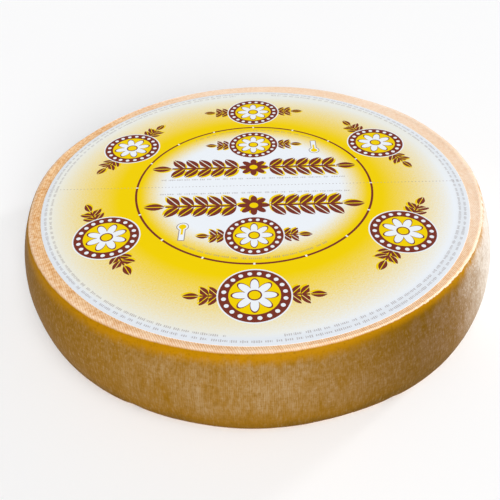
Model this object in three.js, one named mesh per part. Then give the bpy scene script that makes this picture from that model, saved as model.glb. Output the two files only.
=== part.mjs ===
import * as THREE from "three";

// A whole raclette cheese wheel that lies on its flat underside, with a round paper label on its top.
// Millimetres, +Z up. The origin is on the ground, in the middle of the wheel's underside.

// Driving dimensions of the wheel
const wheelRadius = 175.5; // at the belly, the widest ring of the wall
const wheelHeight = 60;
const bellyHeight = 15.6; // the wheel sagged as it ripened, so its belly is low
const shoulderTuck = 11.4; // how far the wall draws in from the belly to the top
const footTuck = 1.6; // how far it draws in from the belly to the ground
const shoulderRound = 3.2;
const footRound = 5;
const topLean = new THREE.Vector2(-2.4, -0.3); // how far the top stands off the middle of the foot

// Driving dimensions of the label
const labelRadius = 154.6;
const labelThickness = 0.3;
const labelShift = new THREE.Vector2(-3, -4.3); // it was laid a little off the wheel's middle

// The wall isn't a true circle: an oval and two shallower waves, each with its own heading.
const wallWaves = [
  { lobes: 2, swell: 2, heading: 35 },
  { lobes: 7, swell: 0.25, heading: 12 },
  { lobes: 11, swell: 0.18, heading: 5 },
];

// The shoulder rises and falls a little round the wheel, outside the flat that the label lies on.
const shoulderWaves = [
  { lobes: 3, swell: 0.35, heading: 20 },
  { lobes: 8, swell: 0.2, heading: 31 },
];
const flatTopRadius = 160;

// Steps of the mesh
const stepsRound = 120;
const wallSteps = 7;
const shoulderSteps = 6;
const footSteps = 3;

const wallRadius = (height) => {
  const above = height > bellyHeight;
  const tuck = above ? shoulderTuck : footTuck;
  const reach = above ? wheelHeight - bellyHeight : bellyHeight;
  return wheelRadius - tuck * ((height - bellyHeight) / reach) ** 2;
};

const waveAt = (waves, angle) =>
  waves.reduce(
    (sum, { lobes, swell, heading }) =>
      sum + swell * Math.cos(lobes * (angle - THREE.MathUtils.degToRad(heading))),
    0,
  );

// The section from the middle of the underside, round foot, wall and shoulder, to the middle of the top.
const wheelSection = () => {
  const shoulderStart = wheelHeight - shoulderRound;
  const foot = new THREE.QuadraticBezierCurve(
    new THREE.Vector2(wallRadius(0) - footRound, 0),
    new THREE.Vector2(wallRadius(0), 0),
    new THREE.Vector2(wallRadius(footRound), footRound),
  );
  const shoulder = new THREE.QuadraticBezierCurve(
    new THREE.Vector2(wallRadius(shoulderStart), shoulderStart),
    new THREE.Vector2(wallRadius(wheelHeight), wheelHeight),
    new THREE.Vector2(wallRadius(wheelHeight) - shoulderRound, wheelHeight),
  );
  const wall = Array.from({ length: wallSteps - 1 }, (_, step) => {
    const height = THREE.MathUtils.lerp(footRound, shoulderStart, (step + 1) / wallSteps);
    return new THREE.Vector2(wallRadius(height), height);
  });
  return [
    new THREE.Vector2(0, 0),
    ...foot.getPoints(footSteps),
    ...wall,
    ...shoulder.getPoints(shoulderSteps),
    new THREE.Vector2(flatTopRadius, wheelHeight),
    new THREE.Vector2(0, wheelHeight),
  ];
};

// Pushes the turned wheel out of round and lets it lean. The underside and the flat top stay level.
const makeUneven = (geometry) => {
  const places = geometry.getAttribute("position");
  const place = new THREE.Vector3();
  for (let index = 0; index < places.count; index += 1) {
    place.fromBufferAttribute(places, index);
    const angle = Math.atan2(place.y, place.x);
    const reach = Math.hypot(place.x, place.y);
    const heightShare = place.z / wheelHeight;
    const edgeShare = THREE.MathUtils.smoothstep(reach, flatTopRadius, wallRadius(wheelHeight));
    if (edgeShare > 0) {
      const shoulderShare = THREE.MathUtils.smoothstep(place.z, bellyHeight, wheelHeight);
      const stretched = 1 + (waveAt(wallWaves, angle) * edgeShare) / reach;
      place.x *= stretched;
      place.y *= stretched;
      place.z += waveAt(shoulderWaves, angle) * shoulderShare * edgeShare;
    }
    place.x += topLean.x * heightShare;
    place.y += topLean.y * heightShare;
    places.setXYZ(index, place.x, place.y, place.z);
  }
};

const makeWheel = () => {
  const geometry = new THREE.LatheGeometry(wheelSection(), stepsRound);
  geometry.rotateX(Math.PI / 2);
  makeUneven(geometry);
  geometry.computeBoundingBox();
  const middle = geometry.boundingBox.getCenter(new THREE.Vector3());
  geometry.translate(-middle.x, -middle.y, 0);
  geometry.computeVertexNormals();
  const rind = new THREE.MeshStandardMaterial({ color: 0xc8954c, roughness: 0.6, metalness: 0 });
  const wheel = new THREE.Mesh(geometry, rind);
  wheel.name = "cheese_wheel";
  return wheel;
};

const makeLabel = () => {
  const geometry = new THREE.CylinderGeometry(labelRadius, labelRadius, labelThickness, stepsRound);
  geometry.rotateX(Math.PI / 2);
  geometry.translate(0, 0, labelThickness / 2);
  const paper = new THREE.MeshStandardMaterial({ color: 0xf2e9b4, roughness: 0.75, metalness: 0 });
  const label = new THREE.Mesh(geometry, paper);
  label.name = "paper_label";
  label.position.set(labelShift.x, labelShift.y, wheelHeight);
  return label;
};

const racletteWheel = new THREE.Group();
racletteWheel.add(makeWheel(), makeLabel());

export default racletteWheel;
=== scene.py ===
"""A whole raclette cheese wheel with a printed paper label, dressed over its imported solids.

Metres, +Z up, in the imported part's own frame. The camera looks along +Y and down, as in the photograph.
"""

import math

import bpy
from mathutils import Matrix, Vector


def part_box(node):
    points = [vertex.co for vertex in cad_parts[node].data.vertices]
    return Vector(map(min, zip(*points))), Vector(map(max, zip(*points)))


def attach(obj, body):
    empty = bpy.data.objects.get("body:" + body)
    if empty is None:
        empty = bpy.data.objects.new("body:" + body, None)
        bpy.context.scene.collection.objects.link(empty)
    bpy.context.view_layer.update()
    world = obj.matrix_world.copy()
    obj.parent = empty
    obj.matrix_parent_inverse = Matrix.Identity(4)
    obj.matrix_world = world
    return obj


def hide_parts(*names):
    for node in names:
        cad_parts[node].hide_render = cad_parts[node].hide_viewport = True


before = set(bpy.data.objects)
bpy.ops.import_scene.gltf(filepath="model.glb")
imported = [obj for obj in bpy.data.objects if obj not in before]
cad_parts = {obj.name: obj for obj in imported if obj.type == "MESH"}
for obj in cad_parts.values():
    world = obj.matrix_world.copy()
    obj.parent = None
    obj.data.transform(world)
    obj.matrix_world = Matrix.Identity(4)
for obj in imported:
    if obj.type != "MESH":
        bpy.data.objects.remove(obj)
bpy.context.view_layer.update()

MM = 0.001
DEGREE = math.radians(1)

# The wheel's section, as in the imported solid
WHEEL_SIZES = {
    "Wheel Radius": 175.5 * MM,
    "Wheel Height": 60 * MM,
    "Belly Height": 15.6 * MM,
    "Shoulder Tuck": 11.4 * MM,
    "Foot Tuck": 1.6 * MM,
    "Shoulder Round": 3.2 * MM,
    "Foot Round": 5 * MM,
    "Flat Top Radius": 160 * MM,
    "Lean Right": -2.4 * MM,
    "Lean Back": -0.3 * MM,
    "Columns": 900,
}

# How the wheel leaves a true circle, as (lobes, swell, heading): its wall, and the height of its shoulder
WALL_WAVES = (
    (2, 2 * MM, 35 * DEGREE),
    (7, 0.25 * MM, 12 * DEGREE),
    (11, 0.18 * MM, 5 * DEGREE),
)
SHOULDER_WAVES = (
    (3, 0.35 * MM, 20 * DEGREE),
    (8, 0.2 * MM, 31 * DEGREE),
)

# The lip is the edge that the pressing cloth leaves on the shoulder, measured along the section. Below it
# the wall has lumps, pits and, at the foot, nicks, as (heading, depth).
LIP_FALL = 3.5 * MM
LIP_WANDER = 1.6 * MM
LIP_WIDTH = 0.9 * MM
LIP_HEIGHT = 0.35 * MM
LUMP_HEIGHT = 0.55 * MM
PIT_HEIGHT = 0.28 * MM
WALL_SWELL = 0.3 * MM
FOOT_NICKS = (
    (-64 * DEGREE, 0.6 * MM),
    (-118 * DEGREE, 0.7 * MM),
    (152 * DEGREE, 1.1 * MM),
    (38 * DEGREE, 1.3 * MM),
)
NICK_SPREAD = 1.6 * DEGREE
NICK_TOP = 7 * MM
RAGGED_HEADING = -42 * DEGREE
RAGGED_SPREAD = 20 * DEGREE

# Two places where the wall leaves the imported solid, as (heading, spread, rise), and the heights between
# which the low bulge fades out and the high hollow comes in
LOW_BULGE = (-55 * DEGREE, 17 * DEGREE, 1.5 * MM)
HIGH_HOLLOW = (128 * DEGREE, 21 * DEGREE, 1.9 * MM)
LOW_WALL = 14 * MM
HIGH_WALL = 46 * MM

label_low, label_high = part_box("paper_label")
label_radius = (label_high.x - label_low.x) / 2
label_middle = (label_low + label_high) / 2
LABEL_SIZES = {
    "Label Radius": label_radius,
    "Paper Rise": 0.2 * MM,
    "Paper Foot": label_low.z,
    "Columns": 256,
}
COCKLE_HEIGHT = 0.09 * MM
LABEL_TURN = -1.34 * DEGREE


class Wire:
    """A node's output that can stand in Python sums, which add the Math nodes that work them out."""

    def __init__(self, tree, socket=None):
        self.tree = tree
        self.socket = socket

    def node(self, kind, settings=None, sockets=None, output=0):
        """Adds any node: its settings first, then its sockets' values or links. Gives one of its outputs."""
        made = self.tree.nodes.new(kind)
        for name, value in (settings or {}).items():
            setattr(made, name, value)
        for key, value in (sockets or {}).items():
            for each in value if isinstance(value, list) else [value]:
                if isinstance(each, Wire):
                    self.tree.links.new(each.socket, made.inputs[key])
                else:
                    made.inputs[key].default_value = each
        return Wire(self.tree, made.outputs[output])

    def also(self, output):
        """Another output of the same node."""
        return Wire(self.tree, self.socket.node.outputs[output])

    def math(self, operation, *values):
        return self.node("ShaderNodeMath", {"operation": operation}, dict(enumerate(values)))

    def __add__(self, other):
        return self.math("ADD", self, other)

    def __sub__(self, other):
        return self.math("SUBTRACT", self, other)

    def __rsub__(self, other):
        return self.math("SUBTRACT", other, self)

    def __mul__(self, other):
        return self.math("MULTIPLY", self, other)

    def __truediv__(self, other):
        return self.math("DIVIDE", self, other)

    def __pow__(self, power):
        return self.math("POWER", self, power)

    def __mod__(self, step):
        return self.math("FLOORED_MODULO", self, step)

    def __abs__(self):
        return self.math("ABSOLUTE", self)

    def __lt__(self, other):
        return self.math("LESS_THAN", self, other)

    def __gt__(self, other):
        return self.math("GREATER_THAN", self, other)

    def __and__(self, other):
        return self.math("MINIMUM", self, other)

    def __or__(self, other):
        return self.math("MAXIMUM", self, other)

    __radd__ = __add__
    __rmul__ = __mul__

    def cos(self):
        return self.math("COSINE", self)

    def sin(self):
        return self.math("SINE", self)

    def root(self):
        return self.math("SQRT", self)

    def bell(self, width):
        """1 where this is 0, falling to nothing at about twice the width on both sides."""
        share = self / width
        return self.math("EXPONENT", 0 - share * share)

    def ramp(self, start, end):
        """0 at start and 1 at end, smooth between them and level beyond."""
        sockets = {"Value": self, "From Min": start, "From Max": end}
        return self.node("ShaderNodeMapRange", {"interpolation_type": "SMOOTHSTEP"}, sockets)

    def parts(self):
        """The three numbers of a vector."""
        first = self.node("ShaderNodeSeparateXYZ", sockets={"Vector": self})
        return first, first.also(1), first.also(2)

    def stretched(self, *factors):
        """A vector with each of its numbers multiplied."""
        sockets = {0: self, 1: factors}
        return self.node("ShaderNodeVectorMath", {"operation": "MULTIPLY"}, sockets)

    def noise(self, scale, detail=2.0, roughness=0.5):
        """Cloudy noise round 0, from about -0.5 to 0.5, at a place."""
        sockets = {"Vector": self, "Scale": scale, "Detail": detail, "Roughness": roughness}
        return self.node("ShaderNodeTexNoise", sockets=sockets) - 0.5

    def chance(self):
        """An even random number from 0 to 1 for each different value."""
        return self.node("ShaderNodeTexWhiteNoise", {"noise_dimensions": "1D"}, {"W": self})

    def over(self, below, above):
        """Two colours mixed with this share of the one above."""
        sockets = {0: self, 6: below, 7: above}
        return self.node("ShaderNodeMix", {"data_type": "RGBA"}, sockets, output=2)


def distance(x, y):
    """How far a place is from the middle."""
    return (x * x + y * y).root()


def paint(red, green, blue):
    """A screen colour from 0 to 255 as the linear colour that a shader takes."""
    shares = [value / 255 for value in (red, green, blue)]
    linear = [s / 12.92 if s <= 0.04045 else ((s + 0.055) / 1.055) ** 2.4 for s in shares]
    return (*linear, 1.0)


# Forms by Geometry Nodes


def new_form(name, sizes):
    """An empty Geometry Nodes tree with a named input for each size, as (tree, wires to those inputs)."""
    tree = bpy.data.node_groups.new(name, "GeometryNodeTree")
    tree.interface.new_socket("Form", in_out="OUTPUT", socket_type="NodeSocketGeometry")
    for size, value in sizes.items():
        kind = "NodeSocketInt" if isinstance(value, int) else "NodeSocketFloat"
        tree.interface.new_socket(size, in_out="INPUT", socket_type=kind)
    tree.interface.new_socket("Finish", in_out="INPUT", socket_type="NodeSocketMaterial")
    first = Wire(tree).node("NodeGroupInput")
    return tree, {size: first.also(size) for size in (*sizes, "Finish")}


def end_form(form, finish):
    """Shades a form smooth, gives it its finish and makes it what the tree puts out."""
    smooth = form.node("GeometryNodeSetShadeSmooth", sockets={"Geometry": form})
    real = form.node("GeometryNodeRealizeInstances", sockets={"Geometry": smooth})
    done = form.node("GeometryNodeSetMaterial", sockets={"Geometry": real, "Material": finish})
    out = form.tree.nodes.new("NodeGroupOutput")
    form.tree.links.new(done.socket, out.inputs[0])


def grow(name, tree, sizes, finish):
    """A plain mesh object from a tree run with these sizes."""
    piece = bpy.data.objects.new(name, bpy.data.meshes.new(name))
    bpy.context.scene.collection.objects.link(piece)
    modifier = piece.modifiers.new("form", "NODES")
    modifier.node_group = tree
    for socket in tree.interface.items_tree:
        if socket.in_out == "INPUT":
            modifier[socket.identifier] = {**sizes, "Finish": finish}[socket.name]
    depsgraph = bpy.context.evaluated_depsgraph_get()
    mesh = bpy.data.meshes.new_from_object(
        piece.evaluated_get(depsgraph), preserve_all_data_layers=True, depsgraph=depsgraph
    )
    piece.modifiers.remove(modifier)
    piece.data = mesh
    mesh.name = name
    return piece


def settle(piece, node):
    """Moves a piece's mesh sideways, so that the middle of its box is over the middle of the node's."""
    low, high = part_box(node)
    middle = (low + high) / 2
    across = [point.co.x for point in piece.data.vertices]
    along = [point.co.y for point in piece.data.vertices]
    off_x = middle.x - (min(across) + max(across)) / 2
    off_y = middle.y - (min(along) + max(along)) / 2
    piece.data.transform(Matrix.Translation((off_x, off_y, 0)))


def turned(section, ring, columns):
    """A closed body turned from strips of section, each (start, middle, end, rows), from top to underside.

    Each point is (radius, height). ring is the radius of the circle that the section is swept round.
    """

    def point(radius, height):
        return ring.node("ShaderNodeCombineXYZ", sockets={"X": radius - ring, "Y": 0 - height})

    strips = []
    for start, middle, end, rows in section:
        places = {"Start": point(*start), "Middle": point(*middle), "End": point(*end)}
        strips.append(ring.node("GeometryNodeCurveQuadraticBezier", sockets={"Resolution": rows, **places}))
    profile = ring.node("GeometryNodeJoinGeometry", sockets={0: strips})
    path = ring.node("GeometryNodeCurvePrimitiveCircle", sockets={"Resolution": columns, "Radius": ring})
    swept = ring.node("GeometryNodeCurveToMesh", sockets={"Curve": path, "Profile Curve": profile})
    return ring.node("GeometryNodeMergeByDistance", sockets={"Geometry": swept, "Distance": 0.01 * MM})


def waves(angle, lobes_and_swells):
    """The sum of waves round the wheel at an angle."""
    return sum(swell * (lobes * (angle - heading)).cos() for lobes, swell, heading in lobes_and_swells)


def bump(angle, heading, spread, rise):
    """A single swelling round the wheel at an angle."""
    return rise * (angle - heading).bell(spread)


def wheel_form():
    """The wheel turned from its section, then pushed out of round and given its lip, lumps and nicks.

    Its points keep how far they are below the lip, in millimetres, for the rind's colours.
    """
    tree, size = new_form("wheel_form", WHEEL_SIZES)
    radius, height, belly = size["Wheel Radius"], size["Wheel Height"], size["Belly Height"]
    shoulder, foot, flat = size["Shoulder Round"], size["Foot Round"], size["Flat Top Radius"]
    below_shoulder = height - shoulder
    wall_top = radius - size["Shoulder Tuck"]
    wall_foot = radius - size["Foot Tuck"]
    fall = (below_shoulder - belly) / (height - belly)
    shoulder_end = radius - size["Shoulder Tuck"] * fall * fall
    rise = (belly - foot) / belly
    foot_start = radius - size["Foot Tuck"] * rise * rise
    edge = wall_top - shoulder
    under = wall_foot - foot
    middle = 0 * radius
    hidden = flat * 0.92
    section = (
        ((middle, height), (flat * 0.4, height), (hidden, height), 4),
        ((hidden, height), (flat * 0.96, height), (edge, height), 14),
        ((edge, height), (wall_top, height), (shoulder_end, below_shoulder), 20),
        ((shoulder_end, below_shoulder), (radius, (below_shoulder + belly) / 2), (radius, belly), 30),
        ((radius, belly), (radius, (belly + foot) / 2), (foot_start, foot), 18),
        ((foot_start, foot), (wall_foot, 0), (under, 0), 9),
        ((under, 0), (under / 2, 0), (middle, 0), 4),
    )
    body = turned(section, radius, size["Columns"])

    place = body.node("GeometryNodeInputPosition")
    normal = body.node("GeometryNodeInputNormal")
    x, y, z = place.parts()
    reach = distance(x, y)
    angle = body.math("ARCTAN2", y, x)
    side = body.math("SIGN", z - belly)
    along = height - z + radius - edge + (reach - radius) * side
    ragged = 1 + 2.2 * (angle - RAGGED_HEADING).bell(RAGGED_SPREAD)
    wander = place.noise(16, 3.0) * LIP_WANDER
    fray = place.noise(230, 4.0, 0.75) * ragged * (0.6 * LIP_WANDER)
    below_lip = along - LIP_FALL - (wander + fray)
    marked = body.node(
        "GeometryNodeStoreNamedAttribute",
        {"data_type": "FLOAT", "domain": "POINT"},
        {"Geometry": body, "Name": "below_lip", "Value": below_lip / MM},
    )

    loose = reach.ramp(flat, wall_top) | (height - z).ramp(1 * MM, 2 * MM)
    off_ground = z.ramp(0.2 * MM, 3 * MM)
    upper = z.ramp(belly, height)
    crumbs = 0.55 + 1.2 * place.noise(70, 4.0, 0.75) * ragged
    lip = below_lip.bell(LIP_WIDTH) * crumbs * LIP_HEIGHT
    lumps = place.noise(45, 3.0) * LUMP_HEIGHT
    pits = place.noise(230, 4.0, 0.65) * PIT_HEIGHT
    at_foot = z.ramp(NICK_TOP, 1 * MM)
    nicks = sum(bump(angle, heading, NICK_SPREAD, depth) * at_foot for heading, depth in FOOT_NICKS)
    bulge = bump(angle, *LOW_BULGE) * z.ramp(HIGH_WALL, LOW_WALL)
    hollow = bump(angle, *HIGH_HOLLOW) * z.ramp(LOW_WALL, HIGH_WALL)
    outward = (lip + (lumps + pits + WALL_SWELL) * off_ground) * loose - nicks * loose
    swell = (waves(angle, WALL_WAVES) + bulge - hollow) * loose / reach
    lift = waves(angle, SHOULDER_WAVES) * upper * loose
    lean_right = size["Lean Right"] * z / height
    lean_back = size["Lean Back"] * z / height
    shift = {"X": x * swell + lean_right, "Y": y * swell + lean_back, "Z": lift}
    sideways = body.node("ShaderNodeCombineXYZ", sockets=shift)
    proud = body.node("ShaderNodeVectorMath", {"operation": "SCALE"}, {0: normal, "Scale": outward})
    push = body.node("ShaderNodeVectorMath", {"operation": "ADD"}, {0: proud, 1: sideways})
    uneven = body.node("GeometryNodeSetPosition", sockets={"Geometry": marked, "Offset": push})
    end_form(uneven, size["Finish"])
    return tree


def label_form():
    """A round sheet of paper with a soft edge and a slight cockle."""
    tree, size = new_form("label_form", LABEL_SIZES)
    radius, rise, low = size["Label Radius"], size["Paper Rise"], size["Paper Foot"]
    top = low + rise
    inner = radius - rise
    section = (
        ((0 * radius, top), (inner / 2, top), (inner, top), 36),
        ((inner, top), (radius, top), (radius, low + rise / 2), 3),
        ((radius, low + rise / 2), (radius, low), (inner, low), 2),
        ((inner, low), (inner / 2, low), (0 * radius, low), 2),
    )
    sheet = turned(section, radius, size["Columns"])
    place = sheet.node("GeometryNodeInputPosition")
    x, y, z = place.parts()
    upper = z.ramp(low, top)
    cockle = (place.noise(14, 2.0) + 0.5) * COCKLE_HEIGHT * upper
    shift = {"X": label_middle.x, "Y": label_middle.y, "Z": cockle}
    offset = sheet.node("ShaderNodeCombineXYZ", sockets=shift)
    laid = sheet.node("GeometryNodeSetPosition", sockets={"Geometry": sheet, "Offset": offset})
    end_form(laid, size["Finish"])
    return tree


# Finishes


def new_look(name):
    """A material with one Principled shader, as (material, shader node, a wire to start from)."""
    look = bpy.data.materials.new(name)
    look.use_nodes = True
    look.node_tree.nodes.clear()
    start = Wire(look.node_tree)
    shader = start.node("ShaderNodeBsdfPrincipled")
    out = look.node_tree.nodes.new("ShaderNodeOutputMaterial")
    look.node_tree.links.new(shader.socket, out.inputs["Surface"])
    return look, shader, start


def feed(shader, **inputs):
    """Links wires, or sets constant values, on a shader's own sockets."""
    for name, value in inputs.items():
        socket = shader.socket.node.inputs[name.replace("_", " ")]
        if isinstance(value, Wire):
            shader.tree.links.new(value.socket, socket)
        else:
            socket.default_value = value


def bumped(height_mm):
    """A normal from a height in millimetres."""
    sockets = {"Strength": 1.0, "Distance": MM, "Height": height_mm}
    return height_mm.node("ShaderNodeBump", sockets=sockets)


CLOTH_PITCH = 1.25 * MM
CLOTH_HEADING = 24 * DEGREE
RIB_COUNT = 880

PEACH_GROOVE = paint(214, 150, 84)
PEACH_RIDGE = paint(247, 212, 168)
LIP_GROOVE = paint(241, 203, 167)
LIP_RIDGE = paint(253, 236, 219)
GOLD = paint(167, 115, 3)
GOLD_DEEP = paint(134, 92, 6)
FOOT_BROWN = paint(98, 67, 3)
BLOOM = paint(164, 139, 103)
# Darker bloom for an older-looking patch on the front-right wall, partly painted shade
BLOOM_OLD_SHADED = paint(134, 110, 94)
# Pale dust for the right of the wall, lightened so that it is partly real dust and partly painted glare
DUST_AND_GLARE = paint(209, 200, 189)


def rind_look():
    """Washed rind: twill pressed into the top, a waxy gold shoulder and a wall with a linen bloom.

    turn is measured in degrees from the front, and is positive to the right.
    """
    look, shader, start = new_look("washed_rind")
    place = start.node("ShaderNodeTexCoord", output="Object")
    below = start.node("ShaderNodeAttribute", {"attribute_name": "below_lip"}, output="Fac")
    x, y, z = place.parts()
    turn = start.math("ARCTAN2", x, 0 - y) / DEGREE
    height = z / MM

    patch = place.stretched(1, 1, 0.6).noise(30, 4.0, 0.6)
    streak = place.stretched(1, 1, 0.2).noise(190, 4.0, 0.65)
    thread = place.stretched(1, 1, 0.22).noise(820, 3.0, 0.7)
    weave = place.stretched(0.3, 0.3, 1).noise(800, 2.0, 0.7)
    speck = place.noise(900, 2.0, 0.7)
    fleck = place.noise(420, 3.0, 0.65)
    grit = place.noise(600, 2.0, 0.6)

    slack = place.noise(90, 2.0) * 1.2
    across = (x * math.cos(CLOTH_HEADING) + y * math.sin(CLOTH_HEADING)) / CLOTH_PITCH + slack
    along = (y * math.cos(CLOTH_HEADING) - x * math.sin(CLOTH_HEADING)) / CLOTH_PITCH + slack
    twill = (across * math.tau).cos() * 0.5 + 0.5
    weft = ((along * 0.9 + across * 0.5) * math.tau).cos() * 0.5 + 0.5
    cloth = twill * (0.62 + 0.38 * weft)
    worn = turn.ramp(-15, -50) * turn.ramp(-172, -130)
    cloth = cloth * (0.85 - 0.35 * worn) + fleck * (1.5 + 1.2 * worn) + patch * 0.8
    cloth = ((cloth + 0.1 + 0.2 * worn) | 0) & 1

    ribs = (turn * (DEGREE * RIB_COUNT) + streak * 8).cos() * 0.5 + 0.5
    linen = ribs * 0.22 + thread * 1.2 + weave * 0.7 + 0.38

    crumbly = (turn - 42).bell(13)
    # On the right the lip's colour edge is sharper, and its pale band is brighter with a painted highlight
    # along the lip.
    crisp_and_lit = turn.ramp(12, 36) * turn.ramp(170, 125)
    edge = below + fleck * (0.8 + 2.6 * crumbly)
    on_top = edge.ramp(1.1 - 0.7 * crisp_and_lit, -0.9 + 0.5 * crisp_and_lit)
    under = height.ramp(2.4, 0.5)
    bare_left = turn.ramp(-10, -48) * turn.ramp(-165, -125)
    # The right side of the wall gets pale dust whose colour also holds a painted glare, whitish where the
    # light from the right grazes it; there the dust also reaches higher towards the lip.
    dust_and_glare_side = turn.ramp(42, 66) * turn.ramp(140, 95)
    dust_and_glare_edge = turn.ramp(43, 58) * turn.ramp(150, 110)
    pale_back = turn.ramp(45, 75) | turn.ramp(-105, -165)
    # A darker, older-looking patch on the front-right wall, partly painted shade that darkens that side of
    # the wall.
    older_and_shaded = (turn - 34).bell(21)
    waxy = (turn - 25).bell(14)

    drip = (below + streak * 14 + patch * 9 + dust_and_glare_edge * 7).ramp(4.0, 14.0)
    cloud = (0.62 + 1.8 * patch + 2.2 * streak) | 0
    bloom = drip * height.ramp(8.0, 26.0) * cloud * (1 - 0.95 * bare_left) * (1 - 0.6 * waxy)
    # Bright specks on the right of the wall: grains of bloom together with painted glints where the light
    # grazes them.
    grains_and_glints = grit.ramp(0.04, 0.15) * turn.ramp(30, 52) * turn.ramp(120, 90)
    bloom = bloom * (linen | 0) + drip * (dust_and_glare_side * (0.36 + 1.1 * fleck) + grains_and_glints * 0.55)
    bloom = (bloom | 0) & 0.9

    # The rind's own pale outer band on the rim, plus a painted highlight line along the lip on the right
    # side.
    pale = 0.32 + edge.ramp(-3.6, -0.3) * (0.4 + 0.2 * crisp_and_lit) + edge.bell(0.7) * crisp_and_lit * 0.6
    peach = cloth.over(PEACH_GROOVE, PEACH_RIDGE)
    paled = (pale + pale_back * 0.55 - worn * 0.32) & 1
    peach = paled.over(peach, cloth.over(LIP_GROOVE, LIP_RIDGE))
    gold = (below + patch * 10).ramp(3.0, 14.0).over(GOLD, GOLD_DEEP)
    # Darker towards the foot: the rind's own browner foot together with painted shade near the floor.
    foot = (height + patch * 14).ramp(13.0, 1.0)
    gold = ((foot * 0.85 + older_and_shaded * 0.9 * below.ramp(-1, 8)) & 1).over(gold, FOOT_BROWN)
    gold = ((thread + weave * 0.5).ramp(0.02, -0.34) * 0.5).over(gold, FOOT_BROWN)
    threadbare = 0.25 + 0.38 * bare_left
    gold = ((thread + weave * 0.35).ramp(-0.04, 0.3) * below.ramp(3, 15) * threadbare).over(gold, BLOOM)
    wall = bloom.over(gold, dust_and_glare_side.over(older_and_shaded.over(BLOOM, BLOOM_OLD_SHADED), DUST_AND_GLARE))
    colour = under.over(on_top.over(wall, peach), peach)

    woven = cloth * 0.06 * (on_top | under) * below.ramp(0, -3)
    ribbed = (linen * 0.03 + ribs * 0.012) * drip * (1 - under)
    grainy = speck * 0.05 + fleck * 0.05
    feed(
        shader,
        Base_Color=colour,
        Roughness=0.45 + 0.3 * bloom + 0.25 * on_top + 0.2 * speck,
        Normal=bumped(woven + ribbed + grainy),
        IOR=1.45,
        Specular_IOR_Level=0.02,
        Coat_Weight=dust_and_glare_side * drip * 0.8,
        Coat_Roughness=0.4,
    )
    return look


PAPER = paint(235, 240, 246)
# Outer paper in painted shade, warmer and greyer than the lit paper
PAPER_SHADED_WARM = paint(233, 234, 228)
PAPER_EDGE = paint(226, 231, 237)
YELLOW = paint(240, 207, 2)
BROWN = paint(120, 53, 40)
PRINT_GREY = paint(150, 138, 136)

# The print, in shares of the label's radius
RING_RADIUS = 0.564
RING_WIDTH = 0.0105
TICKS = 16
BADGES = 6
BADGE_RADIUS = 0.745
PEARLS = 20
INNER_BADGE_PLACE = 0.38
INNER_BADGE_SCALE = 0.9
GARLAND_PLACE = 0.1615
SHADOW_SHIFT = 0.009
FADE_SHIFT = 0.017
EDGE_SHIFT = 0.012
MIDDLE_ROW = 0.06
OUTER_ROW = 0.979
SECOND_ROW = 0.956
RING_ROW = 0.532
PRINT_GROUP = 0.038
PRINT_STROKE = 0.0082
GAUGE_PLACE = (0.317, 0.345)
GAUGE_DROP = 0.035
PEARL_RING = 0.1215


def leaf(along, across, length, width):
    """A pointed leaf with a bare midrib, from its foot at 0 along its length."""
    blade = abs(across) < along * (length - along) * (2 * width / length**2)
    return blade & (abs(across) > width * 0.05)


def sprig(u, v, start, pitch, pairs, length, width, lean):
    """Leaves in pairs on a stem that runs outward on both sides from start, with a leaf at each tip."""
    out = abs(u) - start
    step = out % pitch
    rise = abs(v)
    cos, sin = math.cos(lean), math.sin(lean)
    pair = leaf(step * cos + rise * sin, rise * cos - step * sin, length, width)
    growing = (out > 0) & (out < pitch * pairs)
    stem = (rise < width * 0.12) & growing
    tip = leaf(out - pitch * pairs, v, length, width)
    return (pair & growing) | stem | tip


def flower(u, v, small, large, petals):
    """A round flower whose petals reach from the small radius to the large one."""
    reach = distance(u, v)
    turn = u.math("ARCTAN2", u, v)
    petal = abs((turn * (petals / 2)).cos())
    return reach < small + (large - small) * petal


def small_print(along, across, height, seed):
    """A row of fine strokes in groups, too small to be read as anything."""
    group = along / PRINT_GROUP + seed
    room = (group % 1) < 0.55 + 0.4 * group.math("FLOOR", group).chance()
    stroke = along / PRINT_STROKE
    tall = stroke.math("FLOOR", stroke).chance()
    return room & ((stroke % 1) < 0.62) & (abs(across) < height * (0.3 + 0.25 * tall))


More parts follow.
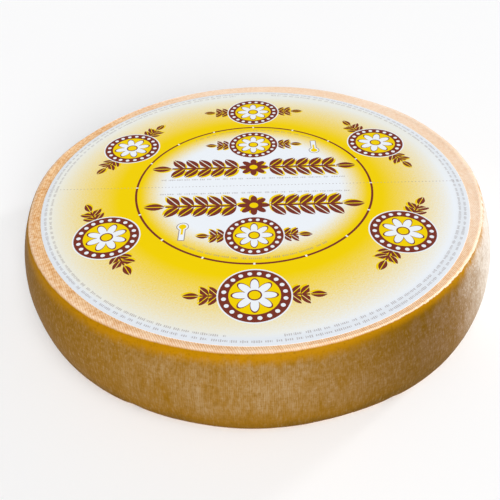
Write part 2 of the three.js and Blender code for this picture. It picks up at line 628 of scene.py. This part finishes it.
def label_look():
    """Coated paper printed in yellow and brown: a soft ring of yellow, flower badges and leaf garlands."""
    look, shader, start = new_look("printed_paper")
    place = start.node("ShaderNodeTexCoord", output="Object")
    frame_of_print = {
        "Vector": place,
        "Location": label_middle,
        "Rotation": (0, 0, LABEL_TURN),
        "Scale": (label_radius, label_radius, label_radius),
    }
    printed = start.node("ShaderNodeMapping", {"vector_type": "TEXTURE"}, frame_of_print)
    x, y, _ = printed.parts()
    reach = distance(x, y)
    turn = start.math("ARCTAN2", x, y)
    half = start.math("SIGN", y)
    fx, fy = x * half, abs(y)
    outside = reach > RING_RADIUS

    grain = printed.noise(150, 2.0, 0.9)
    fade = (((distance(x + FADE_SHIFT, y + FADE_SHIFT) - 0.62) / 0.325) | 0) & 1
    yellow = reach.ramp(0.405, 0.55) & (1 - fade**1.62)
    yellow = ((yellow + grain * yellow * (1 - yellow) * 4.4) | 0) & 1
    # The outer paper is painted lit and shaded: bluish white on the right, where the light falls, and warmer
    # and greyer elsewhere.
    lit_cool_side = (x * 0.8 - y * 0.6).ramp(0.35, 0.85)
    paper = (reach.ramp(0.6, 0.8) * (1 - lit_cool_side)).over(PAPER, PAPER_SHADED_WARM)
    edge_reach = distance(x + EDGE_SHIFT, y - EDGE_SHIFT)
    paper = edge_reach.ramp(0.95, 0.984).over(paper, PAPER_EDGE)
    colour = yellow.over(paper, YELLOW)

    tick_turn = math.tau / TICKS
    to_tick = abs((turn + tick_turn / 2) % tick_turn - tick_turn / 2) * reach
    ring = abs(reach - RING_RADIUS) < RING_WIDTH / 2
    colour = ring.over(colour, BROWN)
    colour = (ring & (to_tick < 0.0045)).over(colour, PAPER)

    dots = (abs(y) < 0.002) & ((x % 0.0165) < 0.006)
    colour = (dots * 0.75).over(colour, PRINT_GREY)

    badge_turn = math.tau / BADGES
    from_badge = (turn + badge_turn / 2) % badge_turn - badge_turn / 2
    u = fx / INNER_BADGE_SCALE
    v = (fy - INNER_BADGE_PLACE) / INNER_BADGE_SCALE
    u = u + outside * (reach * from_badge.sin() - u)
    v = v + outside * (reach * from_badge.cos() - BADGE_RADIUS - v)
    disc = distance(u, v)

    def twigs(shift):
        return sprig(u - shift, v + shift, 0.142, 0.036, 2, 0.07, 0.034, 48 * DEGREE)

    colour = twigs(SHADOW_SHIFT * 0.8).over(colour, YELLOW)
    colour = twigs(0).over(colour, BROWN)
    pearl_turn = math.tau / PEARLS
    from_pearl = (u.math("ARCTAN2", u, v) % pearl_turn - pearl_turn / 2) * PEARL_RING
    pearl = distance(from_pearl, disc - PEARL_RING)
    colour = (disc < 0.148).over(colour, PAPER)
    colour = (disc < 0.142).over(colour, BROWN)
    colour = (pearl < 0.0095).over(colour, PAPER)
    colour = (disc < 0.102).over(colour, YELLOW)
    colour = flower(u, v, 0.046, 0.094, 8).over(colour, BROWN)
    colour = flower(u, v, 0.038, 0.087, 8).over(colour, PAPER)
    colour = (disc < 0.029).over(colour, BROWN)
    colour = (disc < 0.023).over(colour, YELLOW)

    def garland(shift):
        gx, gy = fx - shift, fy - GARLAND_PLACE + shift
        leaves = sprig(gx, gy, 0.08, 0.066, 5, 0.104, 0.05, 50 * DEGREE)
        return leaves | flower(gx, gy, 0.04, 0.074, 8)

    colour = garland(SHADOW_SHIFT).over(colour, YELLOW)
    colour = garland(0).over(colour, BROWN)
    heart = distance(fx, fy - GARLAND_PLACE)
    colour = (heart < 0.02).over(colour, YELLOW)

    from_side = abs(turn % math.pi - math.pi / 2)
    from_front = abs((turn + math.pi / 2) % math.pi - math.pi / 2)
    rows = small_print(fx, fy - MIDDLE_ROW, 0.013, 3) & (abs(fx) < 0.46)
    rows = rows | small_print(turn, reach - OUTER_ROW, 0.012, 11)
    rows = rows | (small_print(turn, reach - SECOND_ROW, 0.012, 29) & (from_side < 1.46))
    rows = rows | (small_print(turn * 0.53, reach - RING_ROW, 0.012, 47) & (from_front < 0.62))
    colour = (rows * 0.55).over(colour, PRINT_GREY)

    tx, ty = fx - GAUGE_PLACE[0], fy - GAUGE_PLACE[1]
    bulb = distance(tx, ty + GAUGE_DROP)

    def gauge(bulb_radius, tube_half, tube_top):
        tube = (abs(tx) < tube_half) & (ty > -GAUGE_DROP) & (ty < tube_top)
        return (bulb < bulb_radius) | tube

    colour = gauge(0.028, 0.0155, 0.062).over(colour, PRINT_GREY)
    colour = gauge(0.024, 0.0115, 0.058).over(colour, PAPER)
    colour = gauge(0.017, 0.005, 0.02).over(colour, YELLOW)

    inked = yellow | ring
    fibre = place.noise(900, 3.0, 0.7)
    feed(
        shader,
        Base_Color=colour,
        Roughness=0.5 - 0.08 * inked + 0.12 * fibre,
        Normal=bumped(fibre * 0.01 + place.noise(25, 2.0) * 0.12),
        IOR=1.45,
        Specular_IOR_Level=0.06,
    )
    return look


def floor_look():
    """A plain pale tabletop."""
    look, shader, start = new_look("pale_floor")
    place = start.node("ShaderNodeTexCoord", output="Object")
    tone = place.noise(3, 2.0) * 0.5 + 0.5
    feed(shader, Base_Color=tone.over((0.945, 0.945, 0.95, 1), (0.965, 0.965, 0.97, 1)), Roughness=0.8)
    return look


# Pieces

wheel = grow("rind_wheel", wheel_form(), WHEEL_SIZES, rind_look())
settle(wheel, "cheese_wheel")
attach(wheel, "root")
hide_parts("cheese_wheel")

label = grow("printed_label", label_form(), LABEL_SIZES, label_look())
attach(label, "root")
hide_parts("paper_label")

# Floor, light and camera

FLOOR_HALF = 6.0
floor_mesh = bpy.data.meshes.new("floor")
quarters = ((-1, -1), (1, -1), (1, 1), (-1, 1))
corners = [(FLOOR_HALF * right, FLOOR_HALF * back, 0) for right, back in quarters]
floor_mesh.from_pydata(corners, [], [(0, 1, 2, 3)])
floor_mesh.materials.append(floor_look())
floor = bpy.data.objects.new("floor", floor_mesh)
bpy.context.scene.collection.objects.link(floor)


def studio_light(name, heading, elevation, spread, strength):
    """A far soft light, its heading measured from +X towards +Y, its strength as on a facing surface."""
    light = bpy.data.lights.new(name, "SUN")
    light.angle = spread
    light.energy = strength * math.pi
    lamp = bpy.data.objects.new(name, light)
    away = Vector((
        math.cos(heading) * math.cos(elevation),
        math.sin(heading) * math.cos(elevation),
        math.sin(elevation),
    ))
    lamp.matrix_world = Matrix.Translation(away * 2) @ away.to_track_quat("Z", "Y").to_matrix().to_4x4()
    bpy.context.scene.collection.objects.link(lamp)


studio_light("overhead", -72 * DEGREE, 72 * DEGREE, 50 * DEGREE, 0.39)
studio_light("front_key", -74 * DEGREE, 23 * DEGREE, 32 * DEGREE, 0.85)
studio_light("right_rim", 36 * DEGREE, 4 * DEGREE, 7 * DEGREE, 0.9)

FILL_STRENGTH = 0.26
BACKDROP_BRIGHTNESS = 0.96
world = bpy.data.worlds.new("studio")
world.use_nodes = True
backdrop = Wire(world.node_tree)
seen = backdrop.node("ShaderNodeLightPath", output="Is Camera Ray")
light_from_it = seen * (BACKDROP_BRIGHTNESS - FILL_STRENGTH) + FILL_STRENGTH
feed(
    Wire(world.node_tree, world.node_tree.nodes["Background"].outputs[0]),
    Color=(1, 1, 1, 1),
    Strength=light_from_it,
)
bpy.context.scene.world = world
bpy.context.scene.view_settings.view_transform = "Standard"

CAMERA_FROM_LABEL = Vector((-4.5, -362.6, 249.3)) * MM
CAMERA_TILT = 40.77 * DEGREE
CAMERA_ROLL = 2.09 * DEGREE
camera_data = bpy.data.cameras.new("camera")
camera_data.sensor_width = 36
camera_data.lens = 42.16
camera = bpy.data.objects.new("camera", camera_data)
tilt = Matrix.Rotation(math.pi / 2 - CAMERA_TILT, 4, "X")
roll = Matrix.Rotation(-CAMERA_ROLL, 4, "Z")
stand = Vector((label_middle.x, label_middle.y, label_low.z)) + CAMERA_FROM_LABEL
camera.matrix_world = Matrix.Translation(stand) @ tilt @ roll
bpy.context.scene.collection.objects.link(camera)
bpy.context.scene.camera = camera

bpy.context.view_layer.update()
